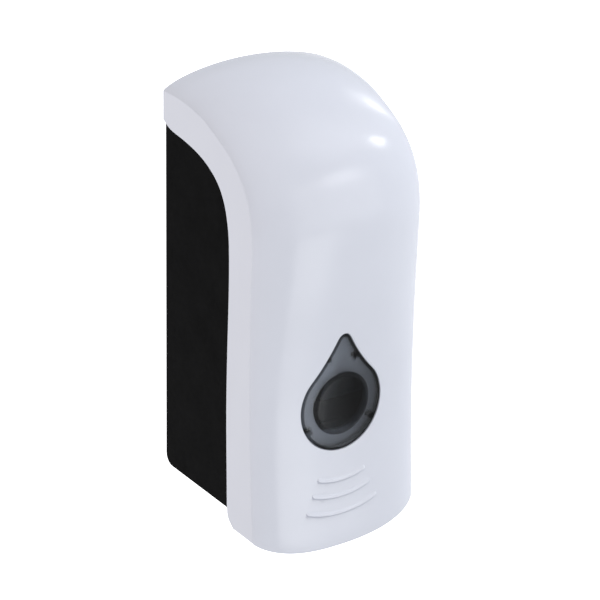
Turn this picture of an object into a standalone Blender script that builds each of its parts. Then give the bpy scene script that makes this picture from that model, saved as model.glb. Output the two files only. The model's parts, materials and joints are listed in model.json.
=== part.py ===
"""Wall mounted soap dispenser, manual, about one litre.

A white front cover wraps a black rear housing.  Inside are a removable tank,
a horizontal piston pump with a nozzle through the housing floor, and a push
frame.  The frame hangs on two stub pins near the top of the housing.  The
cover is hinged to the frame's lower feet and locked to its right arm, so
pressing the ribbed foot of the cover swings cover and frame together and
drives the pump.

Frame: X to the right, Y towards the wall (the wall is the plane y = 0, the
front faces -Y), Z up.  The origin is on the back face of the housing.
Dimensions below are millimetres; "h" is the height above the housing floor.
"""
import math

import bmesh
import bpy
import numpy as np
from mathutils import Matrix, Vector
from mathutils.geometry import tessellate_polygon

for old in list(bpy.data.objects):
    bpy.data.objects.remove(old, do_unlink=True)

# ---------------------------------------------------------------- dimensions
MM = 0.001
ORIGIN_H = 125.0            # height of the origin above the housing floor

COVER_HALF_W = 60.0         # overall width 120
COVER_WALL = 2.0
COVER_BOTTOM = -9.3         # cover reaches below the housing floor
HOUSING_HALF_W = 57.6
HOUSING_WALL = 2.2
BACK_T = 2.6
FLOOR_T = 2.4
FLOOR_FRONT = -70.0
GAP = 0.3

# side crease of the cover (y, h), from the wall over the top to the bottom
CREASE = [(-0.8, 246.8), (-12.0, 247.0), (-24.0, 246.1), (-43.0, 242.2), (-61.0, 234.6),
          (-75.2, 226.2), (-86.2, 215.6), (-93.2, 203.0), (-96.6, 189.5), (-97.2, 176.0),
          (-96.7, 150.0), (-96.4, 118.0), (-97.0, 80.0), (-98.3, 48.0), (-99.8, 22.0),
          (-101.2, 4.0), (-101.9, -4.0), (-102.1, -9.3)]
# rear edge of the cover's side flange, point for point with CREASE
FLANGE = [(-0.8, 229.0), (-9.0, 225.0), (-20.0, 223.2), (-34.0, 220.6), (-46.5, 216.6),
          (-56.5, 211.0), (-63.6, 204.3), (-68.8, 195.0), (-71.8, 184.0), (-73.1, 172.5),
          (-73.5, 150.0), (-72.8, 118.0), (-72.1, 80.0), (-72.5, 48.0), (-73.3, 22.0),
          (-73.9, 3.0), (-75.6, -4.6), (-81.0, -9.3)]
# crown of the front surface over the crease: (height h or arc station, rise)
CROWN = [12.4, 13.4, 14.2, 14.8, 14.9, 14.6, 14.4, 14.2, 14.1, 14.1, 13.8, 12.0, 9.4, 8.8, 9.1, 9.5, 9.5, 9.5]
BOTTOM_DIP = 13.8           # the front's lower edge sags this far in the middle
CROWN_POWER = [2.0, 2.0, 2.0, 2.0, 2.05, 2.1, 2.15, 2.2, 2.35, 2.6, 3.0, 3.4, 3.8, 4.0, 4.0, 4.0, 4.0, 3.8]
CROWN_EXP = 0.72

PIVOT = (-16.0, 222.0)      # push frame pivot (y, h)
HINGE = (-90.0, -3.0)       # cover hinge (y, h)
PUMP_H = 32.0               # pump axis height
INLET_Y = -22.0             # tank outlet and pump inlet
SPOUT_Y = -50.0             # nozzle tip
CAP_Y = -46.0               # tank filling mouth
LOCK = (-87.2, 180.0)       # key lock on the right flange

DROP_C = (0.0, 70.2)        # round end of the drop window
DROP_R = 29.2
TIP_C = (0.0, 112.3)
TIP_R = 4.9
DISC_H = 70.8
DISC_R = 20.0
WINDOW_TILT = 0.050         # window plane leans forward going up
WINDOW_Y = -105.7           # window plane at the disc centre

# ------------------------------------------------------------------ helpers


def V(x, y, h):
    return Vector((x * MM, y * MM, (h - ORIGIN_H) * MM))


def material(name, rgb, rough, metal=0.0, alpha=1.0):
    m = bpy.data.materials.new(name)
    m.use_nodes = True
    b = m.node_tree.nodes["Principled BSDF"]
    b.inputs["Base Color"].default_value = (*rgb, 1.0)
    b.inputs["Roughness"].default_value = rough
    b.inputs["Metallic"].default_value = metal
    b.inputs["Alpha"].default_value = alpha
    return m


def finish(bm, name, mat, smooth=35.0):
    bmesh.ops.remove_doubles(bm, verts=bm.verts, dist=1e-7)
    bmesh.ops.recalc_face_normals(bm, faces=bm.faces)
    me = bpy.data.meshes.new(name)
    bm.to_mesh(me)
    bm.free()
    ob = bpy.data.objects.new(name, me)
    bpy.context.scene.collection.objects.link(ob)
    if mat is not None:
        me.materials.append(mat)
    if smooth:
        me.shade_smooth()
        me.set_sharp_from_angle(angle=math.radians(smooth))
    return ob


def prism(name, outline, place, a0, a1, mat=None, smooth=35.0):
    """Extrudes a closed 2-D outline between two stations; place(u, v, a) gives the point."""
    bm = bmesh.new()
    lo = [bm.verts.new(place(u, v, a0)) for u, v in outline]
    hi = [bm.verts.new(place(u, v, a1)) for u, v in outline]
    n = len(outline)
    for i in range(n):
        bm.faces.new((lo[i], lo[(i + 1) % n], hi[(i + 1) % n], hi[i]))
    if n == 4:
        bm.faces.new(lo[::-1])
        bm.faces.new(hi)
    else:
        for a, b, c in tessellate_polygon([[Vector((u, v, 0.0)) for u, v in outline]]):
            bm.faces.new((lo[a], lo[b], lo[c]))
            bm.faces.new((hi[a], hi[b], hi[c]))
    return finish(bm, name, mat, smooth)


def along_x(u, v, a):
    return V(a, u, v)


def along_y(u, v, a):
    return V(u, a, v)


def along_z(u, v, a):
    return V(u, v, a)


def block(name, x0, x1, y0, y1, h0, h1, mat=None):
    return prism(name, [(x0, y0), (x1, y0), (x1, y1), (x0, y1)], along_z, h0, h1, mat, 0)


def rounded(w0, w1, d0, d1, r, k=4):
    """Rounded rectangle outline from (w0, d0) to (w1, d1)."""
    pts = []
    for cx, cy, a in ((w1 - r, d1 - r, 0), (w0 + r, d1 - r, 90), (w0 + r, d0 + r, 180), (w1 - r, d0 + r, 270)):
        for i in range(k + 1):
            t = math.radians(a + 90.0 * i / k)
            pts.append((cx + r * math.cos(t), cy + r * math.sin(t)))
    return pts


def lathe(name, profile, centre, axis, segs=24, mat=None, closed=False, smooth=35.0):
    """Turns (radius, station) pairs about an axis through centre = (x, y, h).
    A closed profile makes a ring; an open one starts and ends on the axis."""
    bm = bmesh.new()
    rings = []
    for r, s in profile:
        ring = []
        for i in range(segs if r > 1e-6 else 1):
            t = 2 * math.pi * i / segs
            c, d = r * math.cos(t), r * math.sin(t)
            x, y, h = centre
            p = {"x": (x + s, y + c, h + d), "y": (x + c, y + s, h + d), "z": (x + c, y + d, h + s)}[axis]
            ring.append(bm.verts.new(V(*p)))
        rings.append(ring)
    pairs = list(zip(rings, rings[1:] + ([rings[0]] if closed else [])))
    if not closed:
        pairs = list(zip(rings, rings[1:]))
    for a, b in pairs:
        for i in range(segs):
            j = (i + 1) % segs
            if len(a) == 1:
                bm.faces.new((a[0], b[i], b[j]))
            elif len(b) == 1:
                bm.faces.new((a[i], b[0], a[j]))
            else:
                bm.faces.new((a[i], b[i], b[j], a[j]))
    return finish(bm, name, mat, smooth)


def rod(name, centre, axis, r, s0, s1, segs=24, mat=None, chamfer=0.0):
    c = chamfer
    prof = [(0, s0), (r - c, s0)] + ([(r, s0 + c)] if c else []) + ([(r, s1 - c)] if c else []) + [(r - c, s1), (0, s1)]
    return lathe(name, prof, centre, axis, segs, mat)


def tube(name, centre, axis, r0, r1, s0, s1, segs=24, mat=None):
    return lathe(name, [(r0, s0), (r1, s0), (r1, s1), (r0, s1)], centre, axis, segs, mat, closed=True)


def combine(ob, others, op, smooth=35.0, solver="EXACT"):
    """Applies one Boolean after another and removes the tools used."""
    for other in others:
        m = ob.modifiers.new("join", "BOOLEAN")
        m.operation = op
        m.solver = solver
        m.object = other
        bpy.context.view_layer.update()
        done = bpy.data.meshes.new_from_object(ob.evaluated_get(bpy.context.evaluated_depsgraph_get()))
        ob.modifiers.remove(m)
        ob.data = done
        bpy.data.objects.remove(other, do_unlink=True)
    bm = bmesh.new()
    bm.from_mesh(ob.data)
    bmesh.ops.remove_doubles(bm, verts=bm.verts, dist=2e-6)
    bmesh.ops.dissolve_degenerate(bm, edges=bm.edges, dist=1e-6)
    bm.to_mesh(ob.data)
    bm.free()
    if smooth:
        ob.data.shade_smooth()
        ob.data.set_sharp_from_angle(angle=math.radians(smooth))
    return ob


def add(ob, *others, solver="EXACT"):
    return combine(ob, others, "UNION", solver=solver)


def cut(ob, *others, solver="EXACT"):
    return combine(ob, others, "DIFFERENCE", solver=solver)


def spline(points, at):
    """Natural cubic spline through points, parameter = point index."""
    p = np.array(points, float)
    if p.ndim == 1:
        p = p[:, None]
    n = len(p)
    a = np.zeros((n, n))
    b = np.zeros_like(p)
    a[0, 0] = a[-1, -1] = 1
    for i in range(1, n - 1):
        a[i, i - 1:i + 2] = 1, 4, 1
        b[i] = 6 * (p[i + 1] - 2 * p[i] + p[i - 1])
    m = np.linalg.solve(a, b)
    at = np.clip(np.asarray(at, float), 0, n - 1)
    k = np.minimum(at.astype(int), n - 2)
    s = (at - k)[:, None]
    return ((1 - s) * p[k] + s * p[k + 1]
            + ((1 - s) ** 3 - (1 - s)) * m[k] / 6 + (s ** 3 - s) * m[k + 1] / 6)


# ------------------------------------------------------- cover surface rule
STATIONS = len(CREASE) - 1


def cover_rows(n):
    """Stations along the crease: crease point, outward normal, flange point, crown and its power."""
    at = np.linspace(0, STATIONS, n)
    c, f = spline(CREASE, at), spline(FLANGE, at)
    d = spline(CREASE, at + 0.02) - spline(CREASE, at - 0.02)
    d /= np.linalg.norm(d, axis=1)[:, None]
    nrm = np.stack([d[:, 1], -d[:, 0]], 1)       # outward: up over the top, forward at the front
    lead = np.clip(at / 2.0, 0, 1)[:, None]
    nrm = lead * nrm + (1 - lead) * np.array([[0.0, 1.0]])
    tail = np.clip((STATIONS - at) / 1.5, 0, 1)[:, None]
    nrm = tail * nrm + (1 - tail) * np.array([[-1.0, 0.0]])
    nrm /= np.linalg.norm(nrm, axis=1)[:, None]
    return at, c, nrm, f, np.interp(at, range(STATIONS + 1), CROWN), np.interp(at, range(STATIONS + 1), CROWN_POWER)


def rise(x, half, crown, power):
    u = np.clip(abs(x) / half, 0, 1)
    return crown * (1 - u ** power) ** CROWN_EXP


_rows = cover_rows(240)


def front_y(x, h):
    """y of the cover's outer surface at width x and height h (front part only)."""
    _, c, n, _, k, p = _rows
    r = np.array([rise(x, COVER_HALF_W, kk, pp) for kk, pp in zip(k, p)])
    y, z = c[:, 0] + n[:, 0] * r, c[:, 1] + n[:, 1] * r
    sel = slice(90, 240)
    return float(np.interp(-h, -z[sel], y[sel]))


def top_h(x, y):
    """height of the cover's outer surface at width x and depth y (top part only)."""
    _, c, n, _, k, p = _rows
    r = np.array([rise(x, COVER_HALF_W, kk, pp) for kk, pp in zip(k, p)])
    yy, z = c[:, 0] + n[:, 0] * r, c[:, 1] + n[:, 1] * r
    sel = slice(0, 70)
    return float(np.interp(-y, -yy[sel], z[sel]))


def dip(u):
    return (1 - min(abs(u), 1.0) ** 2.2) ** 0.74


def cover_grid(rows, half, inset):
    """Cross-sections from left flange edge to right flange edge for each row."""
    at, c, n, f, crown, power = cover_rows(rows)
    us = [0.985, 0.94, 0.86, 0.75, 0.62, 0.47, 0.31, 0.155, 0.0]
    grid = []
    for i in range(rows):
        base = c[i] - inset * n[i]
        if inset and i == rows - 1:
            base[1] = COVER_BOTTOM
        row = []
        side = []
        for s in (0.0, 0.93):
            q = f[i] + s * (base - f[i])
            side.append((half, q[0], q[1]))
        for u in us:
            r = rise(u * half, half, crown[i], power[i])
            side.append((u * half, base[0] + n[i, 0] * r, base[1] + n[i, 1] * r))
        sag = BOTTOM_DIP * np.clip((45.0 - c[i, 1]) / (45.0 - COVER_BOTTOM), 0, 1) ** 1.5
        side = [(a, b - 0.05 * sag * dip(a / half), d - sag * dip(a / half)) for a, b, d in side]
        row = [(-a, b, d) for a, b, d in side] + side[-2::-1]
        grid.append(row)
    return grid


def shell(name, outer, inner, mat):
    bm = bmesh.new()
    o = [[bm.verts.new(V(*p)) for p in row] for row in outer]
    q = [[bm.verts.new(V(*p)) for p in row] for row in inner]
    nr, nc = len(o), len(o[0])
    for i in range(nr - 1):
        for j in range(nc - 1):
            bm.faces.new((o[i][j], o[i + 1][j], o[i + 1][j + 1], o[i][j + 1]))
            bm.faces.new((q[i][j], q[i][j + 1], q[i + 1][j + 1], q[i + 1][j]))
    for i in range(nr - 1):
        for j in (0, nc - 1):
            bm.faces.new((o[i][j], q[i][j], q[i + 1][j], o[i + 1][j]))
    for j in range(nc - 1):
        for i in (0, nr - 1):
            bm.faces.new((o[i][j], o[i][j + 1], q[i][j + 1], q[i][j]))
    return finish(bm, name, mat, 30.0)


# ------------------------------------------------------------------ colours
WHITE = material("cover_white_abs", (0.62, 0.64, 0.72), 0.28)
BLACK = material("housing_black_abs", (0.012, 0.012, 0.014), 0.42)
SMOKE = material("window_smoked_pc", (0.045, 0.05, 0.06), 0.12, 0.0, 0.75)
GREY = material("frame_grey_pom", (0.25, 0.26, 0.27), 0.45)
TANK = material("tank_translucent_pp", (0.72, 0.76, 0.78), 0.35, 0.0, 0.55)
CAPM = material("cap_blue_grey_pp", (0.35, 0.42, 0.50), 0.40)
PUMPM = material("pump_white_pp", (0.66, 0.67, 0.68), 0.38)
RUBBER = material("seal_black_silicone", (0.02, 0.02, 0.02), 0.65)
STEEL = material("steel_zinc", (0.58, 0.58, 0.60), 0.30, 1.0)
SPRING = material("spring_stainless", (0.55, 0.55, 0.56), 0.25, 1.0)
NOZZ = material("nozzle_black_abs", (0.02, 0.02, 0.022), 0.35)

# ------------------------------------------------------------- rear housing
flange_curve = [tuple(p) for p in spline(FLANGE[:16], np.linspace(0, 15, 34))]


def offset_curve(points, d):
    """Offsets an open polyline to its forward and upper side by d."""
    p = np.array(points)
    t = np.gradient(p, axis=0)
    t /= np.linalg.norm(t, axis=1)[:, None]
    return p + d * np.stack([t[:, 1], -t[:, 0]], 1)


front_edge = [tuple(p) for p in offset_curve(flange_curve, 4.5)]
front_edge = [(0.0, front_edge[0][1])] + [p for p in front_edge if p[1] > 10.0 and p[0] < -0.5]
CORNER_R = 7.0
corner = [(-CORNER_R + CORNER_R * math.cos(math.radians(a)), CORNER_R + CORNER_R * math.sin(math.radians(a)))
          for a in (270, 288, 306, 324, 342, 360)]
side_outline = corner + front_edge + [(-77.6, 8.0), (-74.0, 0.0)]

inner_r = CORNER_R - BACK_T
corner_in = [(-CORNER_R + inner_r * math.cos(math.radians(a)), CORNER_R + inner_r * math.sin(math.radians(a)))
             for a in (360, 342, 324, 306, 288, 270)]
tray = corner + [(0.0, 233.3), (-BACK_T, 233.3)] + corner_in + [(FLOOR_FRONT, CORNER_R - inner_r), (FLOOR_FRONT, 0.0)]
rear_housing = prism("rear_housing", tray, along_x, -HOUSING_HALF_W, HOUSING_HALF_W, BLACK)
wall_l = prism("wall_l", side_outline, along_x, -HOUSING_HALF_W, -HOUSING_HALF_W + HOUSING_WALL)
wall_r = prism("wall_r", side_outline, along_x, HOUSING_HALF_W - HOUSING_WALL, HOUSING_HALF_W)
arch = [(-52.0, 225.0), (52.0, 225.0)] + [(x, top_h(x, -1.0) - 7.5) for x in np.linspace(52, -52, 15)]
arch_plate = prism("arch", arch, along_y, -BACK_T, 0.0)
add(rear_housing, wall_l, wall_r, arch_plate)
# room for the push frame's feet, the nozzle, the pivot pins and the shelf screws
cut(rear_housing,
    block("c1", -55.4, -48.6, -75, -65, -2, 5),
    block("c2", 48.6, 55.4, -75, -65, -2, 5),
    rod("c3", (0, SPOUT_Y, 0), "z", 7.0, -3, 6, 20),
    rod("c4", (0, PIVOT[0], PIVOT[1]), "x", 3.3, -56.9, -50, 20),
    rod("c5", (0, PIVOT[0], PIVOT[1]), "x", 3.3, 50, 56.9, 20),
    rod("c6", (-36, 0, 50), "y", 2.0, -4, -0.6, 12),
    rod("c7", (36, 0, 50), "y", 2.0, -4, -0.6, 12))
for sx in (-1, 1):
    key = [(sx * 28 + 4.8 * math.cos(math.radians(a)), 198 + 4.8 * math.sin(math.radians(a))) for a in range(120, 421, 20)]
    key += [(sx * 28 + 2.4 * math.cos(math.radians(a)), 209 + 2.4 * math.sin(math.radians(a))) for a in range(0, 181, 30)]
    cut(rear_housing, prism("key", key, along_y, -5, 2))

# --------------------------------------------------------- tank shelf, pump
tank_shelf = block("tank_shelf", -48, 48, -66, -BACK_T - GAP, 56, 59, PUMPM)
add(tank_shelf, block("lip", -48, 48, -5.4, -BACK_T - GAP, 43, 57.5),
    block("rib_l", -30, -27.5, -60, -4, 50, 57), block("rib_r", 27.5, 30, -60, -4, 50, 57))
cut(tank_shelf, rod("h1", (0, INLET_Y, 0), "z", 9.5, 50, 62, 28),
    rod("h2", (-36, 0, 50), "y", 2.0, -8, 0, 12), rod("h3", (36, 0, 50), "y", 2.0, -8, 0, 12),
    rod("h4", (-17, -36, 0), "z", 1.6, 50, 58.2, 12), rod("h5", (17, -36, 0), "z", 1.6, 50, 58.2, 12))
SCREW = [(0, -0.9), (1.65, -0.9), (1.65, -5.7), (3.1, -5.7), (3.1, -6.5), (2.2, -7.5), (0.9, -7.8), (0.9, -6.7), (0, -6.7)]
shelf_screw_left = lathe("shelf_screw_left", SCREW, (-36, 0, 50), "y", 14, STEEL)
shelf_screw_right = lathe("shelf_screw_right", SCREW, (36, 0, 50), "y", 14, STEEL)

CYL_F, CYL_R = -44.0, -15.5      # pump barrel, front and rear ends
pump_cylinder = rod("pump_cylinder", (0, 0, PUMP_H), "y", 10.0, CYL_F, CYL_R, 28, PUMPM)
add(pump_cylinder, rod("chimney", (0, INLET_Y, 0), "z", 9.0, 36, 58.6, 28),
    block("flange", -21, 21, -42, -12, 52.8, 55.7),
    block("web", -2, 2, -40.8, -14.2, 40.2, 53.9),
    rod("boss", (0, INLET_Y, 0), "z", 4.5, 18.0, 26, 20))
cut(pump_cylinder,
    rod("bore", (0, 0, PUMP_H), "y", 8.0, -60, -18.0, 28),
    lathe("socket", [(0, 36), (2.0, 36), (2.0, 43), (3.5, 43), (3.5, 49.9), (5.0, 49.9), (5.0, 52.4), (7.2, 52.4), (7.2, 62), (0, 62)],
          (0, INLET_Y, 0), "z", 20),
    rod("outlet", (0, INLET_Y, 0), "z", 2.2, 15, 27, 12),
    rod("s1", (-17, -36, 0), "z", 1.9, 50, 58, 12), rod("s2", (17, -36, 0), "z", 1.9, 50, 58, 12))
UP_SCREW = [(0, 57.6), (1.3, 57.6), (1.3, 52.5), (2.9, 52.5), (2.9, 51.7), (2.0, 50.9), (0.8, 50.7), (0.8, 51.6), (0, 51.6)]
pump_screw_left = lathe("pump_screw_left", UP_SCREW, (-17, -36, 0), "z", 14, STEEL)
pump_screw_right = lathe("pump_screw_right", UP_SCREW, (17, -36, 0), "z", 14, STEEL)
pump_end_cap = lathe("pump_end_cap",
                     [(3.4, -41.0), (7.6, -41.0), (7.6, -44.3), (11.6, -44.3), (11.6, -46.4), (11.0, -47.2), (3.4, -47.2)],
                     (0, 0, PUMP_H), "y", 28, PUMPM, closed=True)
inlet_seat = lathe("inlet_seat", [(2.0, 50.2), (4.7, 50.2), (4.7, 52.1), (3.0, 52.1)], (0, INLET_Y, 0), "z", 20, RUBBER, closed=True)
BALL_R = 2.8
ball = [(BALL_R * math.sin(math.radians(a)), -BALL_R * math.cos(math.radians(a))) for a in range(0, 181, 20)]
ball[0], ball[-1] = (0, -BALL_R), (0, BALL_R)
inlet_ball = lathe("inlet_ball", ball, (0, INLET_Y, 43.0 + BALL_R + GAP), "z", 16, STEEL)

# nozzle: socket under the pump, a channel forward, and the spout
nozzle = rod("nozzle", (0, INLET_Y, 0), "z", 6.6, 7.6, 20.8, 24, NOZZ)
add(nozzle, rod("channel", (0, 0, 12.5), "y", 4.3, SPOUT_Y + 0.7, INLET_Y + 0.8, 20),
    rod("spout", (0, SPOUT_Y, 0), "z", 5.4, -6.0, 17.3, 24, None, 0.8), solver="MANIFOLD")
cut(nozzle,
    lathe("n1", [(0, 11.3), (2.2, 11.3), (2.2, 17.7), (4.9, 17.7), (4.9, 24), (0, 24)], (0, INLET_Y, 0), "z", 16),
    lathe("n2", [(0, -8), (3.7, -8), (3.7, 0.6), (2.3, 0.6), (2.3, 13.5), (0, 13.5)], (0, SPOUT_Y, 0), "z", 16),
    rod("n3", (0, 0, 12.6), "y", 1.9, SPOUT_Y - 1.1, INLET_Y + 1.2, 10),
    solver="MANIFOLD")
drip_valve = lathe("drip_valve", [(1.6, 0.3), (3.4, 0.3), (3.4, -1.4), (1.5, -4.8), (0.6, -4.8), (1.1, -1.4)],
                   (0, SPOUT_Y, 0), "z", 18, RUBBER, closed=True)

# ------------------------------------------------------------------- piston
piston_rod = lathe("piston_rod",
                   [(0, -34.8), (7.5, -34.8), (7.5, -36.4), (5.2, -36.4), (5.2, -38.6), (7.5, -38.6), (7.5, -40.0),
                    (3.0, -40.0), (3.0, -69.8), (2.6, -70.2), (0, -70.2)], (0, 0, PUMP_H), "y", 24, GREY)
piston_seal = lathe("piston_seal", [(5.5, -36.7), (7.8, -36.7), (7.6, -37.5), (7.8, -38.3), (5.5, -38.3)],
                    (0, 0, PUMP_H), "y", 24, RUBBER, closed=True)
PAD_FACE = -73.1
pad = [(0, PAD_FACE), (4.0, PAD_FACE + 0.3), (8.0, PAD_FACE + 1.2), (11.0, PAD_FACE + 2.4), (11.6, PAD_FACE + 3.2),
       (11.6, -67.2), (3.3, -67.2), (3.3, -70.5), (0, -70.5)]
push_pad = lathe("push_pad", pad, (0, 0, PUMP_H), "y", 28, GREY)

SPRING_TURNS, SPRING_WIRE, SPRING_R = 5.0, 0.6, 5.6
spring0, spring1 = -47.5 - SPRING_WIRE - 0.1, -66.9 + SPRING_WIRE
bm = bmesh.new()
steps, sides = int(SPRING_TURNS * 18), 6
last = None
for i in range(steps + 1):
    f = i / steps
    dead = 0.12
    ff = min(max((f - dead * 0.5) / (1 - dead), 0), 1)
    a = 2 * math.pi * SPRING_TURNS * f
    y = spring0 + (spring1 - spring0) * ff
    ring = []
    for k in range(sides):
        t = 2 * math.pi * k / sides
        r = SPRING_R + SPRING_WIRE * math.cos(t)
        ring.append(bm.verts.new(V(r * math.cos(a), y + SPRING_WIRE * math.sin(t), PUMP_H + r * math.sin(a))))
    if last:
        for k in range(sides):
            bm.faces.new((last[k], last[(k + 1) % sides], ring[(k + 1) % sides], ring[k]))
    else:
        bm.faces.new(ring[::-1])
    last = ring
bm.faces.new(last)
return_spring = finish(bm, "return_spring", SPRING, 60)

# --------------------------------------------------------------------- tank
tank_outer = rounded(-44, 44, -82, -6, 6, 4)
tank_inner = rounded(-42.2, 42.2, -80.2, -7.8, 4.2, 3)


def rounded_prism(name, outline, centre, h0, h1, edge, mat=None):
    """A rounded-rectangle block whose top and bottom edges are rounded too."""
    bm = bmesh.new()
    cx, cy = centre
    layers = [(h0, edge), (h0 + 0.3 * edge, 0.3 * edge), (h0 + edge, 0), (h1 - edge, 0), (h1 - 0.3 * edge, 0.3 * edge), (h1, edge)]
    rings = []
    for h, e in layers:
        ring = []
        for x, y in outline:
            dx, dy = x - cx, y - cy
            ring.append(bm.verts.new(V(cx + dx * (1 - e / 44.0), cy + dy * (1 - e / 38.0), h)))
        rings.append(ring)
    n = len(outline)
    for a, b in zip(rings, rings[1:]):
        for i in range(n):
            bm.faces.new((a[i], a[(i + 1) % n], b[(i + 1) % n], b[i]))
    bm.faces.new(rings[0][::-1])
    bm.faces.new(rings[-1])
    bmesh.ops.triangulate(bm, faces=[f for f in bm.faces if len(f.verts) > 4])
    return finish(bm, name, mat)


soap_tank = rounded_prism("soap_tank", tank_outer, (0, -44), 59.4, 212.0, 4.0, TANK)
add(soap_tank, rod("neck", (0, CAP_Y, 0), "z", 18.8, 208, 219, 32))
cut(soap_tank, rounded_prism("inside", tank_inner, (0, -44), 61.2, 210.2, 3.0),
    rod("mouth", (0, CAP_Y, 0), "z", 16.4, 205, 224, 32), rod("out", (0, INLET_Y, 0), "z", 5.9, 55, 66, 20))
tank_outlet = lathe("tank_outlet", [(3.6, 53.4), (5.2, 53.4), (5.6, 54.0), (5.6, 61.5), (9.0, 61.5), (9.0, 63.0), (3.6, 63.0)],
                    (0, INLET_Y, 0), "z", 24, PUMPM, closed=True)
outlet_o_ring = lathe("outlet_o_ring", [(6.4 + 0.45 * math.cos(math.radians(a)), 55.8 + 0.45 * math.sin(math.radians(a))) for a in range(0, 360, 60)],
                      (0, INLET_Y, 0), "z", 24, RUBBER, closed=True)
tank_cap = lathe("tank_cap", [(0, 223.6), (19.6, 223.6), (21.4, 221.8), (21.4, 213.4), (19.3, 213.4), (19.3, 221.7), (0, 221.7)],
                 (0, CAP_Y, 0), "z", 36, CAPM)
cap_gasket = tube("cap_gasket", (0, CAP_Y, 0), "z", 16.6, 18.7, 219.3, 221.4, 28, RUBBER)

# --------------------------------------------------------------- push frame
ARM0, ARM1 = 49.4, 54.6
arm_line = [tuple(p) for p in offset_curve([p for p in flange_curve if p[0] < -18 and p[1] > 38], -5.0)]
arm_line = [(-14.0, 219.0)] + arm_line + [(-69.8, 33.0), (-75.0, 23.0), (-83.8, 11.0), (-89.4, 0.0)]


def band(name, line, w, x0, x1):
    """A strip of width w along an open (y, h) polyline, between the stations x0 and x1."""
    p = np.array(line)
    t = np.gradient(p, axis=0)
    t /= np.linalg.norm(t, axis=1)[:, None]
    nrm = np.stack([t[:, 1], -t[:, 0]], 1)
    bm = bmesh.new()
    rings = [[bm.verts.new(V(x, *q)) for x, q in ((x0, a), (x0, b), (x1, b), (x1, a))]
             for a, b in zip(p + nrm * w / 2, p - nrm * w / 2)]
    for a, b in zip(rings, rings[1:]):
        for i in range(4):
            bm.faces.new((a[i], a[(i + 1) % 4], b[(i + 1) % 4], b[i]))
    bm.faces.new(rings[0][::-1])
    bm.faces.new(rings[-1])
    return finish(bm, name, None)


def frame_arm(sx):
    x0, x1 = sorted((sx * ARM0, sx * ARM1))
    arm = band("arm", arm_line, 11.0, x0, x1)
    return add(arm, rod("hub", (0, *PIVOT), "x", 8.0, x0 - 0.2, x1 + 0.2, 24),
               rod("foot", (0, *HINGE), "x", 6.3, x0 - 0.2, x1 + 0.2, 20),
               block("ear", x0 - 0.1, x1 + 0.1, -80.0, -66.0, 24.0, 40.0), solver="MANIFOLD")


push_frame = block("push_frame", -ARM1 - 0.15, ARM1 + 0.15, -81.0, -73.5, 23.0, 41.0, GREY)
add(push_frame, frame_arm(-1), frame_arm(1), block("top_bar", -ARM1 - 0.1, ARM1 + 0.1, -20.5, -11.5, 226.5, 233.0),
    solver="MANIFOLD")
cut(push_frame,
    rod("p1", (0, *PIVOT), "x", 3.3, -60, -45, 20), rod("p2", (0, *PIVOT), "x", 3.3, 45, 60, 20),
    rod("p3", (0, *HINGE), "x", 2.5, -60, -45, 16), rod("p4", (0, *HINGE), "x", 2.5, 45, 60, 16),
    block("pocket_l", -44, -16, -83, -76.5, 26, 38), block("pocket_r", 16, 44, -83, -76.5, 26, 38),
    solver="MANIFOLD")
for side, a, b in (("left", -56.6, -48.6), ("right", 48.6, 56.6)):
    rod("pivot_pin_" + side, (0, *PIVOT), "x", 3.0, a, b, 20, STEEL, 0.4)
for side, a, b in (("left", -59.1, -50.0), ("right", 50.0, 59.1)):
    rod("cover_pin_" + side, (0, *HINGE), "x", 2.2, a, b, 16, STEEL, 0.3)
LY, LH = LOCK
lock_keeper = prism("lock_keeper", [(-62.5, 201.0), (LY - 5.4, 201.0), (LY - 5.4, 186.2), (LY - 2.7, 186.2), (LY - 2.7, 195.6), (-71.5, 195.6), (-71.5, 190.0), (-65.5, 190.0)],
                    along_x, 46.4, 49.1, STEEL, 0)

# -------------------------------------------------------------- front cover
ROWS = 38
front_cover = shell("front_cover", cover_grid(ROWS, COVER_HALF_W, 0.0), cover_grid(ROWS, COVER_HALF_W - COVER_WALL, COVER_WALL), WHITE)
lip_xs = np.linspace(48, -48, 17)
lip = [(-48.0, -78.0), (48.0, -78.0)] + [(x, front_y(x, COVER_BOTTOM + 1.0) + 1.0) for x in lip_xs]
add(front_cover, prism("lip", lip, along_z, COVER_BOTTOM, COVER_BOTTOM + 2.0))


def window_plane(h):
    return WINDOW_Y - WINDOW_TILT * (h - DISC_H)


def drop(grow=0.0, k=6):
    """Drop outline: a round foot and a small round tip joined by slightly hollow flanks."""
    (cx, cy), (tx, ty) = DROP_C, TIP_C
    R, r = DROP_R + grow, TIP_R + grow
    lean = math.asin((R - r) / (ty - cy))
    a0 = math.degrees(lean)
    pts = []
    for i in range(4 * k + 1):
        a = math.radians(180 - a0 + (180 + 2 * a0) * i / (4 * k))
        pts.append((cx + R * math.cos(a), cy + R * math.sin(a)))
    s = pts[-1]
    e = (tx + r * math.cos(lean), ty + r * math.sin(lean))
    m = ((s[0] + e[0]) / 2 - 2.6 * math.cos(lean), (s[1] + e[1]) / 2 - 2.6 * math.sin(lean))
    flank = [((1 - t) ** 2 * s[0] + 2 * t * (1 - t) * m[0] + t * t * e[0],
              (1 - t) ** 2 * s[1] + 2 * t * (1 - t) * m[1] + t * t * e[1]) for t in np.linspace(0, 1, k + 1)[1:-1]]
    pts += flank
    for i in range(k + 1):
        a = lean + (math.pi - 2 * lean) * i / k
        pts.append((tx + r * math.cos(a), ty + r * math.sin(a)))
    pts += [(-x, y) for x, y in flank[::-1]]
    return pts


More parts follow.
